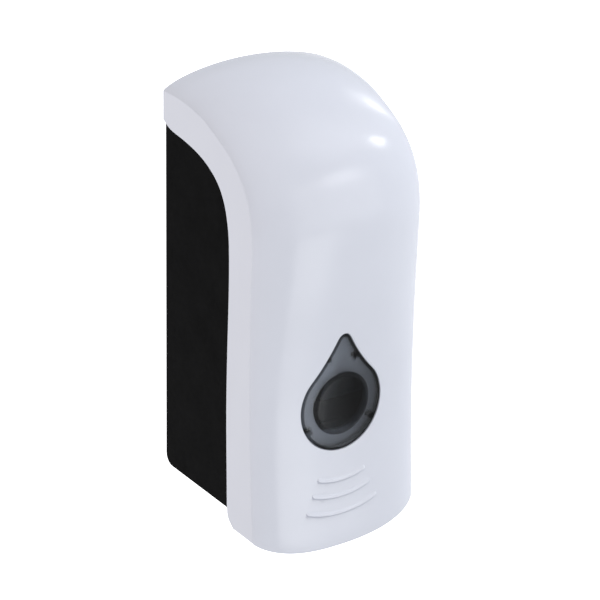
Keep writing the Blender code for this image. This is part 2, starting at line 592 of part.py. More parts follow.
def drop_prism(name, grow, front, back, mat=None, rings=(1.0,)):
    """Solid between a front rule front(x, h) and a back rule back(x, h) over the drop outline."""
    bm = bmesh.new()
    out = drop(grow)
    n = len(out)
    cx, cy = 0.0, DISC_H
    prev = None
    for s in rings:
        ring = [(cx + s * (x - cx), cy + s * (y - cy)) for x, y in out]
        cur = [bm.verts.new(V(x, front(x, y), y)) for x, y in ring]
        if prev:
            for i in range(n):
                bm.faces.new((prev[i], cur[i], cur[(i + 1) % n], prev[(i + 1) % n]))
        else:
            mid = bm.verts.new(V(cx, front(cx, cy), cy))
            for i in range(n):
                bm.faces.new((mid, cur[i], cur[(i + 1) % n]))
        prev = cur
    rear = [bm.verts.new(V(x, back(x, y), y)) for x, y in out]
    for i in range(n):
        bm.faces.new((prev[i], rear[i], rear[(i + 1) % n], prev[(i + 1) % n]))
    mid = bm.verts.new(V(cx, back(cx, cy), cy))
    for i in range(n):
        bm.faces.new((mid, rear[(i + 1) % n], rear[i]))
    return finish(bm, name, mat)


FLOOR_IN, SEAT_IN = 3.0, 4.8
add(front_cover, drop_prism("seat", 1.8, lambda x, h: front_y(x, h) + 1.0, lambda x, h: window_plane(h) + SEAT_IN, None, (0.25, 0.5, 0.75, 1.0)))
CLIPS = [(-9.0, 100.4), (9.0, 100.4), (-22.2, 56.6), (22.2, 56.6)]
cut(front_cover,
    drop_prism("recess", 0.0, lambda x, h: window_plane(h) - 6.0, lambda x, h: window_plane(h) + FLOOR_IN),
    rod("sight", (0, 0, DISC_H), "y", 18.6, -112, -95, 36),
    rod("lock_hole", (0, LY, LH), "x", 5.4, 55, 62, 24),
    rod("pin_l", (0, *HINGE), "x", 2.5, -59.3, -56, 16), rod("pin_r", (0, *HINGE), "x", 2.5, 56, 59.3, 16))
cut(front_cover, *[block("slot", x - 2.1, x + 2.1, window_plane(h) + FLOOR_IN - 0.6, -95, h - 1.5, h + 1.5) for x, h in CLIPS])


def rib(radius, half):
    """A raised bar on the cover's foot, on a circle about the window's disc."""
    span = math.asin(half / radius)
    bm = bmesh.new()
    n = 14
    prev = None
    for i in range(n + 1):
        t = -span + 2 * span * i / n
        fade = 0.45 + 0.55 * math.sin(math.pi * min(max(i / n, 0.03), 0.97)) ** 0.5
        sec = []
        for dr, up in ((-1.1 * fade, -0.8), (-0.9 * fade, 0.45), (-0.35, 0.8), (0.35, 0.8), (0.9 * fade, 0.45), (1.1 * fade, -0.8)):
            q = radius + dr
            x, h = q * math.sin(t), DISC_H - q * math.cos(t)
            sec.append(bm.verts.new(V(x, front_y(x, h) - up * (1.0 if 0 < i < n else 0.5), h)))
        if prev:
            for k in range(6):
                bm.faces.new((prev[k], prev[(k + 1) % 6], sec[(k + 1) % 6], sec[k]))
        else:
            bm.faces.new(sec[::-1])
        prev = sec
    bm.faces.new(prev)
    return finish(bm, "rib", None)


add(front_cover, rib(49.4, 17.4), rib(59.8, 21.5), rib(71.0, 26.0))

# ------------------------------------------------------------- level window
level_window = drop_prism("level_window", -0.35, lambda x, h: front_y(x, h) + 0.15, lambda x, h: window_plane(h) + FLOOR_IN - GAP,
                          SMOKE, (0.3, 0.55, 0.8, 0.94, 1.0))
disc_front = front_y(0, DISC_H) - 1.3
add(level_window, lathe("disc", [(0, disc_front), (17.6, disc_front + 0.35), (18.9, disc_front + 0.7), (19.8, disc_front + 1.5),
                                 (DISC_R, disc_front + 3.6), (0, disc_front + 3.6)], (0, 0, DISC_H), "y", 40))
for x, h in CLIPS:
    y = window_plane(h)
    s = 1 if h > 80 else -1
    add(level_window, block("clip", x - 1.7, x + 1.7, y + FLOOR_IN - 1.2, y + SEAT_IN + 2.6, h - 0.9, h + 0.9),
        prism("hook", [(y + SEAT_IN + 0.4, h + s * 0.8), (y + SEAT_IN + 0.4, h + s * 2.3), (y + SEAT_IN + 2.5, h + s * 0.8)],
              lambda u, v, a: V(a, u, v), x - 1.6, x + 1.6))

# --------------------------------------------------------------------- lock
lock_barrel = rod("lock_barrel", (0, LY, LH), "x", 5.1, 49.0, 59.9, 28, STEEL, 0.4)
cut(lock_barrel, block("keyway", 55.5, 61.0, LY - 0.9, LY + 0.9, LH - 3.4, LH + 3.4))
lock_cam = rod("lock_cam", (0, LY, LH), "x", 4.0, 46.5, 48.7, 20, STEEL)
add(lock_cam, prism("tongue", [(LY, LH - 2), (LY + 11.6, LH - 2), (LY + 13, LH - 0.9), (LY + 13, LH + 0.9), (LY + 11.6, LH + 2), (LY, LH + 2)],
                    along_x, 46.5, 48.7, None, 0))
lock_clip = tube("lock_clip", (0, LY, LH), "x", 5.4, 6.8, 56.5, 57.7, 24, STEEL)

# ------------------------------------- origins of moving pieces on their axes
AXES = [((0.0, *PIVOT), (push_frame, "cover_pin_left", "cover_pin_right", lock_keeper)),
        ((0.0, *HINGE), (front_cover, level_window, lock_clip)),
        ((54.0, LY, LH), (lock_barrel, lock_cam)),
        ((0.0, -70.0, PUMP_H), (piston_rod, piston_seal, push_pad, return_spring)),
        ((0.0, -44.0, 59.4), (soap_tank, tank_outlet, outlet_o_ring)),
        ((0.0, CAP_Y, 215.0), (tank_cap, cap_gasket)),
        ((0.0, INLET_Y, 46.1), (inlet_ball,))]
for point, pieces in AXES:
    at = V(*point)
    for piece in pieces:
        ob = bpy.data.objects[piece] if isinstance(piece, str) else piece
        ob.data.transform(Matrix.Translation(-at))
        ob.location = at
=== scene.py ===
"""Looks for the wall mounted soap dispenser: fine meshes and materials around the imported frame."""
import json
import math

import bmesh
import bpy
import numpy as np
from mathutils import Matrix, Vector

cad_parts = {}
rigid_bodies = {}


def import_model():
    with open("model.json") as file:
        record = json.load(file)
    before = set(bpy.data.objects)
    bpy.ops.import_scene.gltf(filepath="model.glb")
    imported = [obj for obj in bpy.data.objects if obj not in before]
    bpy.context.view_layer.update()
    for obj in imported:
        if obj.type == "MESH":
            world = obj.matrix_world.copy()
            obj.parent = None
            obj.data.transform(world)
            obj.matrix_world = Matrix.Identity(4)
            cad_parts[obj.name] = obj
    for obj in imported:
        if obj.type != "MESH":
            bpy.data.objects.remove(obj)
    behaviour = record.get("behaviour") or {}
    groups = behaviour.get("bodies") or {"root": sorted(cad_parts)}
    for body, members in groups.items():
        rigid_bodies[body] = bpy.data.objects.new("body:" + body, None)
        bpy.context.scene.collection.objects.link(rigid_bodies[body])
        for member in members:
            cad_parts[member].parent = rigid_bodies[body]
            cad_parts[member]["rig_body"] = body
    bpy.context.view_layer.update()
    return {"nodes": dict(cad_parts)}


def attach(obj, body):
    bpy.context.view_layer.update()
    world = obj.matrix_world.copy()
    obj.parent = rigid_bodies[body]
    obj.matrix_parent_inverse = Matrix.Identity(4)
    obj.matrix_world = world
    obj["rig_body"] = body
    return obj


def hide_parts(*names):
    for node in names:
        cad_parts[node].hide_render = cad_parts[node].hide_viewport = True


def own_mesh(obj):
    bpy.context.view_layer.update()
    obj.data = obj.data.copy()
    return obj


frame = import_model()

MM = 0.001
ORIGIN_H = 125.0
NODES = frame["nodes"]

# ------------------------------------------------ the cover's surface rule
HALF = 60.0
WALL = 2.0
BOTTOM = -9.3
DIP = 13.8
CREASE = [(-0.8, 246.8), (-12.0, 247.0), (-24.0, 246.1), (-43.0, 242.2), (-61.0, 234.6),
          (-75.2, 226.2), (-86.2, 215.6), (-93.2, 203.0), (-96.6, 189.5), (-97.2, 176.0),
          (-96.7, 150.0), (-96.4, 118.0), (-97.0, 80.0), (-98.3, 48.0), (-99.8, 22.0),
          (-101.2, 4.0), (-101.9, -4.0), (-102.1, -9.3)]
FLANGE = [(-0.8, 229.0), (-9.0, 225.0), (-20.0, 223.2), (-34.0, 220.6), (-46.5, 216.6),
          (-56.5, 211.0), (-63.6, 204.3), (-68.8, 195.0), (-71.8, 184.0), (-73.1, 172.5),
          (-73.5, 150.0), (-72.8, 118.0), (-72.1, 80.0), (-72.5, 48.0), (-73.3, 22.0),
          (-73.9, 3.0), (-75.6, -4.6), (-81.0, -9.3)]
CROWN = [12.4, 13.4, 14.2, 14.8, 14.9, 14.6, 14.4, 14.2, 14.1, 14.1, 13.8, 12.0, 9.4, 8.8, 9.1, 9.5, 9.5, 9.5]
POWER = [2.0, 2.0, 2.0, 2.0, 2.05, 2.1, 2.15, 2.2, 2.35, 2.6, 3.0, 3.4, 3.8, 4.0, 4.0, 4.0, 4.0, 3.8]
LAST = len(CREASE) - 1
DROP_C, DROP_R = (0.0, 70.2), 29.2
TIP_C, TIP_R = (0.0, 112.3), 4.9
DISC_H = 70.8
HINGE = (-90.0, -3.0)
LOCK = (-87.2, 180.0)


def V(x, y, h):
    return Vector((x * MM, y * MM, (h - ORIGIN_H) * MM))


def spline(points, at):
    p = np.array(points, float)
    if p.ndim == 1:
        p = p[:, None]
    n = len(p)
    a = np.zeros((n, n))
    b = np.zeros_like(p)
    a[0, 0] = a[-1, -1] = 1
    for i in range(1, n - 1):
        a[i, i - 1:i + 2] = 1, 4, 1
        b[i] = 6 * (p[i + 1] - 2 * p[i] + p[i - 1])
    m = np.linalg.solve(a, b)
    at = np.clip(np.asarray(at, float), 0, n - 1)
    k = np.minimum(at.astype(int), n - 2)
    s = (at - k)[:, None]
    return ((1 - s) * p[k] + s * p[k + 1]
            + ((1 - s) ** 3 - (1 - s)) * m[k] / 6 + (s ** 3 - s) * m[k + 1] / 6)


def rows(at):
    c, f = spline(CREASE, at), spline(FLANGE, at)
    d = spline(CREASE, at + 0.02) - spline(CREASE, at - 0.02)
    d /= np.linalg.norm(d, axis=1)[:, None]
    n = np.stack([d[:, 1], -d[:, 0]], 1)
    lead = np.clip(at / 2.0, 0, 1)[:, None]
    n = lead * n + (1 - lead) * np.array([[0.0, 1.0]])
    tail = np.clip((LAST - at) / 1.5, 0, 1)[:, None]
    n = tail * n + (1 - tail) * np.array([[-1.0, 0.0]])
    n /= np.linalg.norm(n, axis=1)[:, None]
    # the rule's values are eased so that the light runs smoothly over the crown
    grid = np.linspace(0, LAST, 400)
    kern = np.exp(-0.5 * (np.arange(-24, 25) / 9.0) ** 2)
    kern /= kern.sum()
    def eased(vals):
        v = np.interp(grid, range(LAST + 1), vals)
        return np.interp(at, grid, np.convolve(np.pad(v, 24, mode="edge"), kern, "valid"))
    return c, n, f, eased(CROWN), eased(POWER)


def dip(u):
    return (1 - np.minimum(np.abs(u), 1.0) ** 2.2) ** 0.74


def surface(at, xs, ts, half, inset):
    """Points (len(at), columns, 3) from the left flange edge over the front to the right one.
    xs are widths 0..half on the front, ts are shares from crease to flange edge."""
    c, n, f, crown, power = rows(at)
    base = c - inset * n
    if inset:
        base[-1, 1] = BOTTOM
    sag = DIP * np.clip((45.0 - c[:, 1]) / (45.0 - BOTTOM), 0, 1) ** 1.5
    cols = []
    for t in ts:                       # flange, from its rear edge towards the crease
        q = base + t * (f - base)
        cols.append(np.stack([np.full(len(at), half), q[:, 0], q[:, 1]], 1))
    for x in xs:                       # front, from the crease to the middle
        u = min(x / half, 1.0)
        r = crown * (1 - u ** power) ** 0.72
        q = base + n * r[:, None]
        s = sag * dip(u)
        cols.append(np.stack([np.full(len(at), x), q[:, 0] - 0.05 * s, q[:, 1] - s], 1))
    side = np.stack(cols, 1)
    left = side.copy()
    left[:, :, 0] *= -1
    return np.concatenate([left, side[:, -2::-1]], 1)


_at = np.linspace(0, LAST, 500)
_c, _n, _f, _k, _p = rows(_at)
_sag = DIP * np.clip((45.0 - _c[:, 1]) / (45.0 - BOTTOM), 0, 1) ** 1.5


def front_y(x, h):
    u = min(abs(x) / HALF, 1.0)
    r = _k * (1 - u ** _p) ** 0.72
    s = _sag * float(dip(u))
    y, z = _c[:, 0] + _n[:, 0] * r - 0.05 * s, _c[:, 1] + _n[:, 1] * r - s
    return float(np.interp(-h, -z[190:], y[190:]))


# ------------------------------------------------------------- mesh helpers
def new_object(name, bm, smooth=38.0):
    bmesh.ops.remove_doubles(bm, verts=bm.verts, dist=2e-7)
    bmesh.ops.recalc_face_normals(bm, faces=bm.faces)
    me = bpy.data.meshes.new(name)
    bm.to_mesh(me)
    bm.free()
    ob = bpy.data.objects.new(name, me)
    bpy.context.scene.collection.objects.link(ob)
    me.shade_smooth()
    me.set_sharp_from_angle(angle=math.radians(smooth))
    return ob


def boolean(ob, tools, op):
    for t in tools:
        m = ob.modifiers.new("b", "BOOLEAN")
        m.operation, m.solver, m.object = op, "EXACT", t
        bpy.context.view_layer.update()
        me = bpy.data.meshes.new_from_object(ob.evaluated_get(bpy.context.evaluated_depsgraph_get()))
        ob.modifiers.remove(m)
        ob.data = me
        bpy.data.objects.remove(t, do_unlink=True)
    me = ob.data
    me.shade_smooth()
    me.set_sharp_from_angle(angle=math.radians(38))
    return ob


def loft(name, rings, closed_ends=True, smooth=38.0):
    """Skins closed rings of points (h frame, mm), capping both ends with fans."""
    bm = bmesh.new()
    vs = [[bm.verts.new(V(*p)) for p in ring] for ring in rings]
    for a, b in zip(vs, vs[1:]):
        n = len(a)
        for i in range(n):
            bm.faces.new((a[i], a[(i + 1) % n], b[(i + 1) % n], b[i]))
    if closed_ends:
        for ring, pts in ((vs[0], rings[0]), (vs[-1], rings[-1])):
            mid = bm.verts.new(V(*np.mean(np.array(pts), 0)))
            for i in range(len(ring)):
                bm.faces.new((ring[i], ring[(i + 1) % len(ring)], mid))
    return new_object(name, bm, smooth)


def lathe(name, profile, centre, axis, segs=72, closed=False, smooth=38.0, wave=None):
    """Turns (radius, station) pairs; wave(angle, radius, station) may change the radius."""
    bm = bmesh.new()
    rings = []
    for r, s in profile:
        ring = []
        for i in range(segs if r > 1e-6 else 1):
            t = 2 * math.pi * i / segs
            q = wave(t, r, s) if wave else r
            c, d = q * math.cos(t), q * math.sin(t)
            x, y, h = centre
            ring.append(bm.verts.new(V(*{"x": (x + s, y + c, h + d), "y": (x + c, y + s, h + d), "z": (x + c, y + d, h + s)}[axis])))
        rings.append(ring)
    pairs = list(zip(rings, rings[1:] + ([rings[0]] if closed else [])))
    if not closed:
        pairs = list(zip(rings, rings[1:]))
    for a, b in pairs:
        for i in range(segs):
            j = (i + 1) % segs
            if len(a) == 1:
                bm.faces.new((a[0], b[i], b[j]))
            elif len(b) == 1:
                bm.faces.new((a[i], b[0], a[j]))
            else:
                bm.faces.new((a[i], b[i], b[j], a[j]))
    return new_object(name, bm, smooth)


def soften(profile, r=0.35, k=3):
    """Rounds the corners of a closed (radius, station) profile."""
    out = []
    n = len(profile)
    for i in range(n):
        p, a, b = (np.array(profile[j % n], float) for j in (i, i - 1, i + 1))
        la, lb = np.linalg.norm(a - p), np.linalg.norm(b - p)
        if la < 1e-6 or lb < 1e-6:
            out.append(tuple(p))
            continue
        ua, ub = (a - p) / la, (b - p) / lb
        cosang = float(np.clip(ua @ ub, -1, 1))
        if cosang < -0.97:
            out.append(tuple(p))
            continue
        d = min(r, 0.4 * la, 0.4 * lb)
        s, e = p + ua * d, p + ub * d
        for j in range(k + 1):
            t = j / k
            out.append(tuple((1 - t) ** 2 * s + 2 * t * (1 - t) * p + t * t * e))
    return out


def soften_open(profile, r=0.35, k=3):
    """As soften, for a profile that starts and ends on the axis."""
    out = [profile[0]]
    for i in range(1, len(profile) - 1):
        p, a, b = (np.array(profile[j], float) for j in (i, i - 1, i + 1))
        la, lb = np.linalg.norm(a - p), np.linalg.norm(b - p)
        ua, ub = (a - p) / la, (b - p) / lb
        if float(ua @ ub) < -0.97:
            out.append(tuple(p))
            continue
        d = min(r, 0.45 * la, 0.45 * lb)
        s, e = p + ua * d, p + ub * d
        for j in range(k + 1):
            t = j / k
            out.append(tuple((1 - t) ** 2 * s + 2 * t * (1 - t) * p + t * t * e))
    out.append(profile[-1])
    return out


# ---------------------------------------------------------------- materials
def tree(name):
    m = bpy.data.materials.new(name)
    m.use_nodes = True
    nt = m.node_tree
    nt.nodes.clear()
    out = nt.nodes.new("ShaderNodeOutputMaterial")
    b = nt.nodes.new("ShaderNodeBsdfPrincipled")
    nt.links.new(b.outputs[0], out.inputs[0])
    tc = nt.nodes.new("ShaderNodeTexCoord")
    return m, nt, b, tc.outputs["Object"]


def noise(nt, coord, scale, detail=3.0, rough=0.55, stretch=None):
    if stretch:
        mp = nt.nodes.new("ShaderNodeMapping")
        mp.inputs["Scale"].default_value = stretch
        nt.links.new(coord, mp.inputs["Vector"])
        coord = mp.outputs[0]
    n = nt.nodes.new("ShaderNodeTexNoise")
    n.inputs["Scale"].default_value = scale
    n.inputs["Detail"].default_value = detail
    n.inputs["Roughness"].default_value = rough
    nt.links.new(coord, n.inputs["Vector"])
    return n.outputs["Fac"]


def ramp(nt, fac, lo, hi, a=0.3, b=0.7):
    r = nt.nodes.new("ShaderNodeMapRange")
    r.inputs["From Min"].default_value = a
    r.inputs["From Max"].default_value = b
    r.inputs["To Min"].default_value = lo
    r.inputs["To Max"].default_value = hi
    nt.links.new(fac, r.inputs["Value"])
    return r.outputs[0]


def colours(nt, fac, c0, c1, a=0.3, b=0.7):
    r = nt.nodes.new("ShaderNodeValToRGB")
    r.color_ramp.elements[0].position, r.color_ramp.elements[1].position = a, b
    r.color_ramp.elements[0].color = (*c0, 1)
    r.color_ramp.elements[1].color = (*c1, 1)
    nt.links.new(fac, r.inputs[0])
    return r.outputs[0]


def plastic(name, c, vary=0.04, rough=(0.25, 0.33), grain=2600.0, bump=0.05, cloud=38.0, spec=0.5, **more):
    """Moulded plastic: faint cloudiness in the colour, uneven gloss, and a fine moulded grain."""
    m, nt, b, co = tree(name)
    n1 = noise(nt, co, cloud, 4.0)
    c0 = tuple(x * (1 - vary) for x in c)
    c1 = tuple(min(1.0, x * (1 + vary)) for x in c)
    nt.links.new(colours(nt, n1, c0, c1), b.inputs["Base Color"])
    n2 = noise(nt, co, cloud * 4.3, 5.0)
    nt.links.new(ramp(nt, n2, *rough), b.inputs["Roughness"])
    n3 = noise(nt, co, grain, 2.0)
    bp = nt.nodes.new("ShaderNodeBump")
    bp.inputs["Strength"].default_value = bump
    bp.inputs["Distance"].default_value = 0.0002
    nt.links.new(n3, bp.inputs["Height"])
    nt.links.new(bp.outputs[0], b.inputs["Normal"])
    b.inputs["Specular IOR Level"].default_value = spec
    for k, v in more.items():
        b.inputs[k.replace("_", " ")].default_value = v
    return m


def metal(name, c, rough=(0.18, 0.34), stretch=(1, 1, 1), scale=900.0, vary=0.08):
    m, nt, b, co = tree(name)
    n1 = noise(nt, co, scale, 4.0, 0.6, stretch)
    nt.links.new(colours(nt, n1, tuple(x * (1 - vary) for x in c), tuple(x * (1 + vary) for x in c)), b.inputs["Base Color"])
    nt.links.new(ramp(nt, n1, *rough), b.inputs["Roughness"])
    b.inputs["Metallic"].default_value = 1.0
    bp = nt.nodes.new("ShaderNodeBump")
    bp.inputs["Strength"].default_value = 0.12
    bp.inputs["Distance"].default_value = 0.00005
    nt.links.new(n1, bp.inputs["Height"])
    nt.links.new(bp.outputs[0], b.inputs["Normal"])
    return m


WHITE = plastic("cover_white", (0.590, 0.610, 0.680), 0.012, (0.17, 0.21), 3200.0, 0.025, 26.0)
BLACK = plastic("housing_black", (0.0042, 0.0042, 0.0044), 0.20, (0.42, 0.54), 2300.0, 0.22, 60.0, 0.5, IOR=1.06)
GREY = plastic("frame_grey", (0.21, 0.22, 0.235), 0.05, (0.38, 0.50), 2000.0, 0.10)
CAPM = plastic("cap_blue_grey", (0.17, 0.235, 0.32), 0.06, (0.34, 0.46), 2200.0, 0.10)
PUMPM = plastic("pump_white", (0.60, 0.61, 0.62), 0.03, (0.32, 0.44), 2400.0, 0.08)
NOZZ = plastic("nozzle_black", (0.012, 0.012, 0.013), 0.2, (0.28, 0.40), 2600.0, 0.10)
RUBBER = plastic("seal_rubber", (0.016, 0.016, 0.017), 0.2, (0.55, 0.75), 1800.0, 0.20)
STEEL = metal("zinc_steel", (0.56, 0.565, 0.58))
NICKEL = metal("nickel", (0.63, 0.60, 0.55), (0.12, 0.26), (1, 6, 6), 700.0)
SPRING = metal("spring_wire", (0.52, 0.52, 0.53), (0.14, 0.30), (1, 1, 1), 1500.0)
BALL = metal("polished_ball", (0.62, 0.62, 0.64), (0.06, 0.12), (1, 1, 1), 2200.0, 0.03)

TANK, nt, b, co = tree("tank_polypropylene")
n1 = noise(nt, co, 30.0, 4.0)
nt.links.new(colours(nt, n1, (0.70, 0.745, 0.77), (0.80, 0.835, 0.85)), b.inputs["Base Color"])
nt.links.new(ramp(nt, noise(nt, co, 140.0, 5.0), 0.34, 0.44), b.inputs["Roughness"])
b.inputs["Transmission Weight"].default_value = 0.22
b.inputs["IOR"].default_value = 1.45
b.inputs["Subsurface Weight"].default_value = 0.35
b.inputs["Subsurface Radius"].default_value = (0.004, 0.004, 0.005)
bp = nt.nodes.new("ShaderNodeBump")
bp.inputs["Strength"].default_value = 0.06
bp.inputs["Distance"].default_value = 0.0003
nt.links.new(noise(nt, co, 260.0, 2.0), bp.inputs["Height"])
nt.links.new(bp.outputs[0], b.inputs["Normal"])

# smoked window: its colour carries painted shade, stored per vertex: darker at the gap round the rim, over the clip
# slots behind it, over the dark hole behind the disc, and darker towards the right, where less light is reflected
SMOKE_AND_SHADE, nt, b, co = tree("window_smoked_painted_shade")
at = nt.nodes.new("ShaderNodeAttribute")
at.attribute_name = "painted_shade"
cloud = noise(nt, co, 55.0, 4.0)
thin = colours(nt, cloud, (0.600, 0.632, 0.670), (0.632, 0.664, 0.704))
# painted shade: the per-vertex mask blends the smoke colour towards near black
mix = nt.nodes.new("ShaderNodeMix")
mix.data_type = "RGBA"
nt.links.new(at.outputs["Fac"], mix.inputs["Factor"])
nt.links.new(thin, mix.inputs[6])
mix.inputs[7].default_value = (0.006, 0.0068, 0.0088, 1)
nt.links.new(mix.outputs[2], b.inputs["Base Color"])
nt.links.new(ramp(nt, noise(nt, co, 160.0, 5.0), 0.05, 0.11), b.inputs["Roughness"])
b.inputs["Transmission Weight"].default_value = 0.90
b.inputs["IOR"].default_value = 1.18
bp = nt.nodes.new("ShaderNodeBump")
bp.inputs["Strength"].default_value = 0.02
bp.inputs["Distance"].default_value = 0.0002
nt.links.new(noise(nt, co, 700.0, 2.0), bp.inputs["Height"])
nt.links.new(bp.outputs[0], b.inputs["Normal"])


def dress(ob, mat, body, node=None):
    ob.data.materials.clear()
    ob.data.materials.append(mat)
    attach(ob, body)
    if node:
        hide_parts(*([node] if isinstance(node, str) else node))
    return ob


# -------------------------------------------------------------- front cover
def round_shell(name, outer, inner, r=0.55, k=3):
    """Closes outer and inner grids into one body whose rim is rounded on both sides."""
    outer, inner = outer.copy(), inner.copy()
    nr, nc = outer.shape[:2]
    loop = [(0, j) for j in range(nc)] + [(i, nc - 1) for i in range(1, nr)]
    loop += [(nr - 1, j) for j in range(nc - 2, -1, -1)] + [(i, 0) for i in range(nr - 2, 0, -1)]

    def tangent(g, i, j):
        t = np.zeros(3)
        if i in (0, nr - 1):
            d = g[i, j] - g[1 if i == 0 else nr - 2, j]
            t += d / np.linalg.norm(d)
        if j in (0, nc - 1):
            d = g[i, j] - g[i, 1 if j == 0 else nc - 2]
            t += d / np.linalg.norm(d)
        return t / np.linalg.norm(t)

    rim = []
    src_o, src_i = outer.copy(), inner.copy()
    for i, j in loop:
        po, pi = src_o[i, j], src_i[i, j]
        to, ti = tangent(src_o, i, j), tangent(src_i, i, j)
        d = (pi - po) / np.linalg.norm(pi - po)
        a0, b0 = po - r * to, pi - r * ti
        pts = [a0 + r * math.sin(a) * to + r * (1 - math.cos(a)) * d for a in np.linspace(0, math.pi / 2, k + 1)[1:]]
        pts += [b0 + r * math.sin(a) * ti - r * (1 - math.cos(a)) * d for a in np.linspace(math.pi / 2, 0, k + 1)[:-1]]
        rim.append(pts)
        outer[i, j], inner[i, j] = a0, b0
    bm = bmesh.new()
    o = [[bm.verts.new(V(*p)) for p in row] for row in outer]
    q = [[bm.verts.new(V(*p)) for p in row] for row in inner]
    for i in range(nr - 1):
        for j in range(nc - 1):
            bm.faces.new((o[i][j], o[i + 1][j], o[i + 1][j + 1], o[i][j + 1]))
            bm.faces.new((q[i][j], q[i][j + 1], q[i + 1][j + 1], q[i + 1][j]))
    rv = [[o[i][j]] + [bm.verts.new(V(*p)) for p in pts] + [q[i][j]] for (i, j), pts in zip(loop, rim)]
    for a, c in zip(rv, rv[1:] + rv[:1]):
        for m in range(len(a) - 1):
            bm.faces.new((a[m], c[m], c[m + 1], a[m + 1]))
    return new_object(name, bm, 40)


arc = spline(CREASE, np.linspace(0, LAST, 800))
length = np.concatenate([[0], np.cumsum(np.linalg.norm(np.diff(arc, axis=0), axis=1))])
stations = np.interp(np.concatenate([[0, 0.8, 1.6], np.arange(3.0, length[-1] - 3.2, 2.1), [length[-1] - 2.2, length[-1] - 1.1, length[-1]]]),
                     length, np.linspace(0, LAST, 800))
xs = [59.93, 59.75, 59.5, 59.15, 58.7, 58.1, 57.3, 56.3, 55.0, 53.4, 51.6] + list(np.linspace(49.6, 0, 26))
ts = [1.0, 0.95, 0.85, 0.7, 0.5, 0.3, 0.15, 0.06, 0.02, 0.0]
xs_in = [x * (HALF - WALL) / HALF for x in xs]
outer = surface(stations, xs, ts, HALF, 0.0)
inner = surface(stations, xs_in, ts, HALF - WALL, WALL)
cover = round_shell("cover_shell", outer, inner)

WINDOW_Y, TILT = -105.7, 0.050


def plane(h):
    return WINDOW_Y - TILT * (h - DISC_H)


def drop(grow=0.0, k=30):
    (cx, cy), (tx, ty) = DROP_C, TIP_C
    R, r = DROP_R + grow, TIP_R + grow
    lean = math.asin((R - r) / (ty - cy))
    a0 = math.degrees(lean)
    pts = []
    for i in range(4 * k + 1):
        a = math.radians(180 - a0 + (180 + 2 * a0) * i / (4 * k))
        pts.append((cx + R * math.cos(a), cy + R * math.sin(a)))
    s = pts[-1]
    e = (tx + r * math.cos(lean), ty + r * math.sin(lean))
    m = ((s[0] + e[0]) / 2 - 2.6 * math.cos(lean), (s[1] + e[1]) / 2 - 2.6 * math.sin(lean))
    flank = [((1 - t) ** 2 * s[0] + 2 * t * (1 - t) * m[0] + t * t * e[0],
              (1 - t) ** 2 * s[1] + 2 * t * (1 - t) * m[1] + t * t * e[1]) for t in np.linspace(0, 1, k + 1)[1:-1]]
    pts += flank
    n = max(10, k // 2)
    for i in range(n + 1):
        a = lean + (math.pi - 2 * lean) * i / n
        pts.append((tx + r * math.cos(a), ty + r * math.sin(a)))
    pts += [(-x, y) for x, y in flank[::-1]]
    # even spacing, and the joins between arcs and flanks eased
    p = np.array(pts + pts[:1])
    run = np.concatenate([[0], np.cumsum(np.linalg.norm(np.diff(p, axis=0), axis=1))])
    n = 200
    t = np.linspace(0, run[-1], n, endpoint=False)
    q = np.stack([np.interp(t, run, p[:, 0]), np.interp(t, run, p[:, 1])], 1)
    for _ in range(6):
        q = 0.25 * np.roll(q, 1, 0) + 0.5 * q + 0.25 * np.roll(q, -1, 0)
    q[:, 1] -= 0.8 * np.clip((cy - q[:, 1]) / R, 0, 1)          # the bowl is a touch longer than a true circle
    return [tuple(v) for v in q]


seat_ring = drop(1.8)
seat_rings = [[(x * s, front_y(x * s, DISC_H + (y - DISC_H) * s) + 1.0, DISC_H + (y - DISC_H) * s) for x, y in seat_ring] for s in (0.12, 0.4, 0.7, 1.0)]
seat_rings += [[(x, plane(y) + 4.8, y) for x, y in seat_ring]]
seat = loft("seat", seat_rings)
lip_xs = np.linspace(48, -48, 49)
lip_out = [(-48.0, -78.0), (48.0, -78.0)] + [(x, front_y(x, BOTTOM + 1.0) + 1.0) for x in lip_xs]
lip = loft("lip", [[(x, y, BOTTOM) for x, y in lip_out], [(x, y, BOTTOM + 2.0) for x, y in lip_out]])
boolean(cover, [seat, lip], "UNION")
rings = []
for grow, off in ((1.3, -1.6), (0.62, -0.35), (0.40, -0.02), (0.20, 0.10), (0.06, 0.30), (0.0, 0.65)):
    rings.append([(x, front_y(x, y) + off, y) for x, y in drop(grow)])
rings.append([(x, plane(y) + 2.6, y) for x, y in drop(0.0)])
rings.append([(x, plane(y) + 3.0, y) for x, y in drop(-0.4)])
recess = loft("recess", rings)
sight = lathe("sight", [(0, -112), (18.6, -112), (18.6, -95), (0, -95)], (0, 0, DISC_H), "y", 96)
lock_hole = lathe("lock_hole", [(0, 55), (5.4, 55), (5.4, 59.7), (5.9, 60.2), (5.9, 62), (0, 62)], (0, *LOCK), "x", 64)
pin_l = lathe("pin_l", [(0, -59.3), (2.5, -59.3), (2.5, -56), (0, -56)], (0, *HINGE), "x", 32)
pin_r = lathe("pin_r", [(0, 56), (2.5, 56), (2.5, 59.3), (0, 59.3)], (0, *HINGE), "x", 32)
CLIPS = [(-9.0, 100.4), (9.0, 100.4), (-22.2, 56.6), (22.2, 56.6)]


def cuboid(name, x0, x1, y0, y1, h0, h1):
    return loft(name, [[(x0, y0, h), (x1, y0, h), (x1, y1, h), (x0, y1, h)] for h in (h0, h1)])


slots = [cuboid("slot", x - 2.1, x + 2.1, plane(h) + 2.4, -95, h - 1.5, h + 1.5) for x, h in CLIPS]
boolean(cover, [recess, sight, lock_hole, pin_l, pin_r] + slots, "DIFFERENCE")


